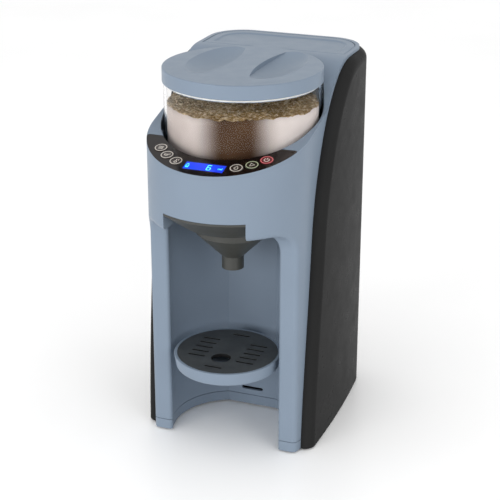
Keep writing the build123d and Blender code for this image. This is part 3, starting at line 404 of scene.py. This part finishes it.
def top_of(node):
    """Centre of a node's top face in the panel's own directions."""
    points = [vertex.co for vertex in frame["nodes"][node].data.vertices]
    spans = [[p.dot(way) for p in points] for way in (ACROSS, ALONG, UP)]
    x, y = ((min(span) + max(span)) / 2 for span in spans[:2])
    return ACROSS * x + ALONG * y + UP * max(spans[2])


def arc(x, y, radius, start, end, steps=24):
    """Points in mm along an arc; angles in degrees."""
    turns = [math.radians(start + (end - start) * k / steps) for k in range(steps + 1)]
    return [(x + radius * math.cos(t), y + radius * math.sin(t)) for t in turns]


PAINT_TOP, PAINT_FOOT = 0.12, -0.05    # mm over the printed face, with the foot sunk into it


def stroke(mesh, origin, points, width, closed):
    """Adds a raised line of printed paint; points and width in mm in the panel plane."""
    count = len(points)
    rows = []
    for k, (x, y) in enumerate(points):
        before = points[k - 1] if k or closed else points[k]
        after = points[(k + 1) % count] if k < count - 1 or closed else points[k]
        run = Vector((after[0] - before[0], after[1] - before[1])).normalized()
        half_x, half_y = -run.y * width / 2, run.x * width / 2
        row = []
        for side, lift in ((1, PAINT_FOOT), (1, PAINT_TOP), (-1, PAINT_TOP), (-1, PAINT_FOOT)):
            px, py = x + side * half_x, y + side * half_y
            row.append(mesh.verts.new(origin + (ACROSS * px + ALONG * py + UP * lift) * MM))
        rows.append(row)
    pairs = list(zip(rows, rows[1:])) + ([(rows[-1], rows[0])] if closed else [])
    for one, two in pairs:
        for side in range(4):
            mesh.faces.new((one[side], one[(side + 1) % 4], two[(side + 1) % 4], two[side]))
    if not closed:
        mesh.faces.new(rows[0])
        mesh.faces.new(rows[-1])


def printed(name, body, look, origin, strokes):
    """One object of printed strokes that rides a body; each stroke is (points, width, closed)."""
    mesh = bmesh.new()
    for points, width, closed in strokes:
        stroke(mesh, origin, points, width, closed)
    bmesh.ops.recalc_face_normals(mesh, faces=mesh.faces)
    data = bpy.data.meshes.new(name)
    mesh.to_mesh(data)
    data.materials.append(look)
    marks = bpy.data.objects.new(name, data)
    bpy.context.scene.collection.objects.link(marks)
    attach(marks, body)


ICON_W, RING_W, RING_R = 0.8, 0.85, 6.05


def line(*points):
    """An open icon stroke."""
    return (list(points), ICON_W, False)


ICONS = {
    "menu_button": [line((-2.6, y), (2.6, y)) for y in (1.9, 0, -1.9)],
    "powder_button": [
        (arc(-0.8, 0.4, 2.0, 180, 360), ICON_W, False),
        line((-2.9, 0.6), (1.2, 0.6), (3.6, 2.0)),
    ],
    "temperature_button": [
        (arc(0, -2.0, 1.4, 0, 360), ICON_W, True),
        line((0, -0.8), (0, 3.2)),
        line((1.6, 1.0), (2.8, 1.0)),
        line((1.6, 2.6), (2.8, 2.6)),
    ],
    "volume_button": [([(0, 3.4), (-1.6, 0.6)] + arc(0, -0.8, 1.9, 150, 390) + [(1.6, 0.6)], ICON_W, True)],
    "start_button": [([(-1.6, 2.6), (2.8, 0), (-1.6, -2.6)], 0.9, True)],
    "power_button": [(arc(0, -0.3, 2.6, 125, 415), ICON_W, False), line((0, 0.4), (0, 3.4))],
}
PAINTS = {
    "button_silver": moulded("paint_silver", srgb(196, 190, 182), 0.35),
    "button_green": moulded("paint_green", srgb(168, 176, 146), 0.35),
    "button_red": moulded("paint_red", srgb(206, 100, 104), 0.35),
}
slots = {part["node"]: part["material_slot"] for part in frame["record"]["subparts"]}
for button, icon in ICONS.items():
    paint = PAINTS[slots[button]]
    ring_mark = (arc(0, 0, RING_R, 0, 360, 64)[:-1], RING_W, True)
    origin = top_of(button)
    printed(button + "_ring", button, paint, origin, [ring_mark])
    printed(button + "_icon", button, PAINTS["button_silver"], origin, icon)


def shifted(x, y, *points):
    """Points moved to their place on the display."""
    return [(px + x, py + y) for px, py in points]


DIGIT_X, BOTTLE_X, UNIT_X, UNIT_Y = 5, -18.5, 17, -0.4
DIGIT_W, BOTTLE_W, FILLING_W, UNIT_W = 0.9, 0.7, 1.8, 0.6
digit = [
    shifted(
        DIGIT_X,
        0,
        (1.9, 4.0),
        (-1.3, 4.0),
        (-1.9, 3.4),
        (-1.9, -3.4),
        (-1.3, -4.0),
        (1.3, -4.0),
        (1.9, -3.4),
    ),
    shifted(DIGIT_X, 0, (1.9, -3.4), (1.9, -0.5), (1.3, 0.1), (-1.6, 0.1)),
]
bottle = shifted(
    BOTTLE_X,
    0,
    (-1.3, -3.2),
    (1.3, -3.2),
    (1.5, 1.0),
    (0.7, 2.2),
    (0.7, 3.2),
    (-0.7, 3.2),
    (-0.7, 2.2),
    (-1.5, 1.0),
)
filling = shifted(BOTTLE_X, 0, (-0.9, -1.9), (0.9, -1.9))
unit_bars = ((-1.9, -1.2, 0.9), (-0.6, 0.9, -1.2), (0.7, 0.9, -1.2), (2.0, 1.9, -1.2))
shown = [(points, DIGIT_W, False) for points in digit]
shown += [(bottle, BOTTLE_W, True), (filling, FILLING_W, False)]
shown += [(shifted(UNIT_X, UNIT_Y, (x, start), (x, end)), UNIT_W, False) for x, start, end in unit_bars]
printed("display_digits", "base", display_glow(), top_of("lcd_window"), shown)


# ---------------------------------------------------------------- room, light and camera
CAMERA_PLACE = (0.5124, -1.3432, 0.7730)
CAMERA_YAW, CAMERA_PITCH = 0.366, 0.381    # radians, to the left and down
SENSOR, LENS = 36.0, 99.4
FLOOR_HALF = 6.0


def make_camera():
    """Looks from the front right and above, from where the proportions were fitted."""
    data = bpy.data.cameras.new("camera")
    data.sensor_width, data.lens = SENSOR, LENS
    data.clip_start, data.clip_end = 0.01, 50
    camera = bpy.data.objects.new("camera", data)
    bpy.context.scene.collection.objects.link(camera)
    forward = Vector(
        (
            -math.sin(CAMERA_YAW) * math.cos(CAMERA_PITCH),
            math.cos(CAMERA_YAW) * math.cos(CAMERA_PITCH),
            -math.sin(CAMERA_PITCH),
        )
    )
    camera.location = CAMERA_PLACE
    camera.rotation_mode = "QUATERNION"
    camera.rotation_quaternion = forward.to_track_quat("-Z", "Y")
    bpy.context.scene.camera = camera


def softbox(name, place, aim, size, power):
    """A rectangular lamp turned towards a point."""
    data = bpy.data.lights.new(name, "AREA")
    data.shape = "RECTANGLE"
    data.size, data.size_y = size
    data.energy = power
    lamp = bpy.data.objects.new(name, data)
    lamp.location = place
    lamp.rotation_mode = "QUATERNION"
    lamp.rotation_quaternion = (Vector(aim) - Vector(place)).to_track_quat("-Z", "Y")
    bpy.context.scene.collection.objects.link(lamp)


def make_room():
    """White surroundings, a pale floor and three weak softboxes."""
    world = bpy.data.worlds.new("studio")
    world.use_nodes = True
    world.node_tree.nodes["Background"].inputs["Color"].default_value = (1, 1, 1, 1)
    world.node_tree.nodes["Background"].inputs["Strength"].default_value = 1.0
    bpy.context.scene.world = world
    mesh = bpy.data.meshes.new("floor")
    corners = [(x * FLOOR_HALF, y * FLOOR_HALF, 0) for x, y in ((-1, -1), (1, -1), (1, 1), (-1, 1))]
    mesh.from_pydata(corners, [], [(0, 1, 2, 3)])
    floor = bpy.data.objects.new("floor", mesh)
    bpy.context.scene.collection.objects.link(floor)
    look = Shader("floor", Roughness=0.35)
    look.color(look.ramp(look.noise(3, 2), (0.3, srgb(250, 250, 250)), (0.7, srgb(254, 254, 254))))
    mesh.materials.append(look.material)
    centre = (0, 0, 0.2)
    softbox("key", (-0.7, -2.1, 0.6), centre, (1.6, 1.0), 19)
    softbox("fill", (1.7, -1.2, 0.8), centre, (0.9, 1.4), 9)
    softbox("top", (0, 0.2, 2.2), centre, (1.6, 1.6), 1)
    bpy.context.scene.view_settings.view_transform = "Standard"


make_camera()
make_room()
